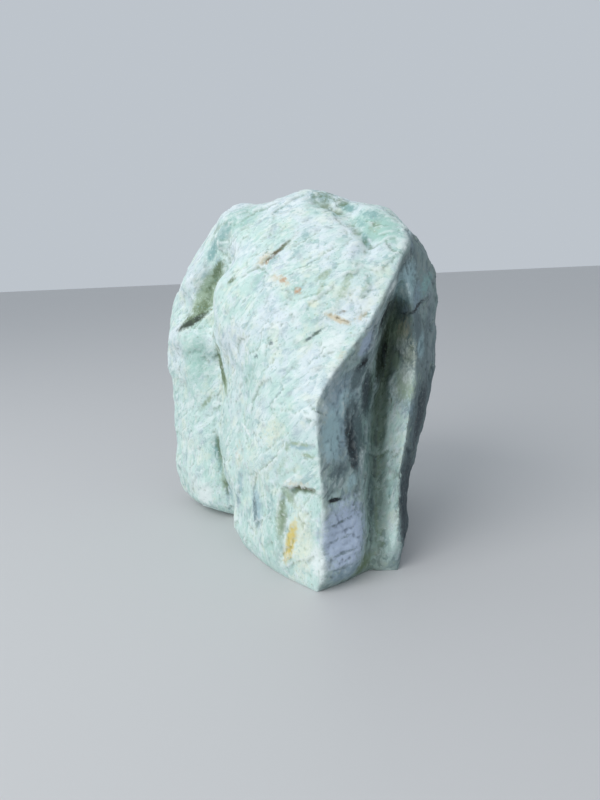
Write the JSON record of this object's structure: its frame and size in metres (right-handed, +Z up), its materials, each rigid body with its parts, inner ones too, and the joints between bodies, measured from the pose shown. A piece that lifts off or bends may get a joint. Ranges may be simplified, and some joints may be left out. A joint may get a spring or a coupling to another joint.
{
  "type": "raw soapstone",
  "caption": "Upright lump of raw pale green soapstone with a broad split face, a sharp front ridge, grooves down both sides, broken flakes behind and a flat foot to stand on.",
  "frame": {"origin": "centre of the stone's bounding box in plan, at the level of its flat foot", "axes": "+Z up from the foot to the crown, -Y towards the broad light face and the front ridge, +X towards the dark flank and its pillar"},
  "size_m": [0.1628, 0.165, 0.1903],
  "materials": {
    "soapstone": "matt, chalky pale green talc rock with white bruises, grey-green veins and a few rusty spots"
  },
  "bodies": {
    "root": {"soapstone": "soapstone"}
  },
  "joints": []
}
